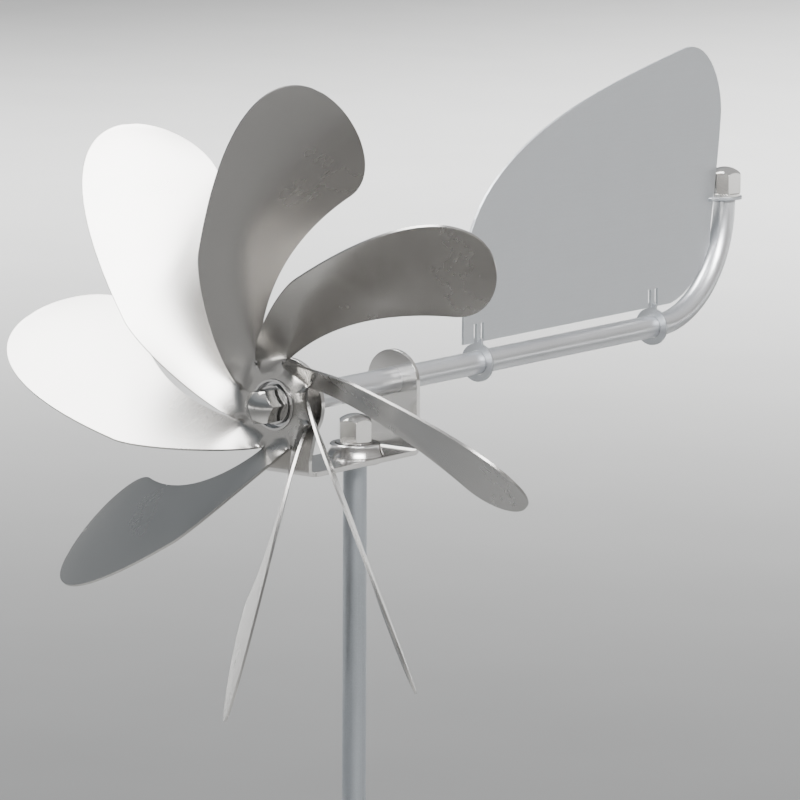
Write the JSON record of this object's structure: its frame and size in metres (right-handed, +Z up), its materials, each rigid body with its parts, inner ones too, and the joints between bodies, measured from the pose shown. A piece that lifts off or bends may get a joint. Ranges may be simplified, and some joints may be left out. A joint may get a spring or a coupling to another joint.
{
  "type": "wind spinner",
  "caption": "Stainless garden wind spinner: pitched sheet-metal rotor and leaf-shaped wind vane on a bracket that turns on a ground pole.",
  "frame": {"origin": "on the pole's axis at ground level, where the pole enters the soil", "axes": "+Z up along the pole, the rotor faces -Y, the tail rod and vane run along +Y"},
  "size_m": [0.2648, 0.356, 1.4324],
  "materials": {
    "pole_steel": "matt grey metal bar",
    "rod_metal": "satin metal bar",
    "brushed_sheet": "fine brushed stainless sheet",
    "satin_sheet": "fine satin stainless sheet",
    "polished_sheet": "mirror polished stainless sheet",
    "polished_fasteners": "polished stainless",
    "turned_housings": "fine turned stainless",
    "bearing_steel": "ground bearing steel",
    "cages": "pressed brass",
    "spring_steel": "dark spring steel"
  },
  "bodies": {
    "pole": {"ground_pole": "pole_steel", "yaw_support_washer": "polished_fasteners", "yaw_bearing_inner_ring": "bearing_steel", "yaw_bearing_balls": "bearing_steel", "yaw_bearing_cage": "cages", "pole_washer": "polished_fasteners", "pole_cap_nut": "polished_fasteners"},
    "head": {"yaw_bearing_outer_ring": "bearing_steel", "yaw_bearing_upper_shield": "bearing_steel", "yaw_bearing_lower_shield": "bearing_steel", "yaw_bearing_housing": "turned_housings", "yaw_bearing_circlip": "spring_steel", "bracket": "polished_sheet", "ear_spacer_tube": "rod_metal", "tail_rod": "rod_metal", "hub_spacer_ring": "polished_fasteners", "hub_bearing_inner_ring": "bearing_steel", "hub_bearing_balls": "bearing_steel", "hub_bearing_cage": "cages", "hub_washer": "polished_fasteners", "hub_cap_nut": "polished_fasteners", "vane": "satin_sheet", "vane_washer": "polished_fasteners", "vane_cap_nut": "polished_fasteners"},
    "rotor": {"hub_housing": "turned_housings", "rotor_blades": "brushed_sheet", "hub_bearing_outer_ring": "bearing_steel", "hub_bearing_front_shield": "bearing_steel", "hub_bearing_rear_shield": "bearing_steel"}
  },
  "joints": [
    {"name": "head_yaw", "type": "hinge", "parent": "pole", "child": "head", "pos_m": [0, 0, 1.1], "axis": [0, 0, 1], "continuous": true},
    {"name": "rotor_spin", "type": "hinge", "parent": "head", "child": "rotor", "pos_m": [0, -0.053, 1.1], "axis": [0, 1, 0], "continuous": true}
  ]
}
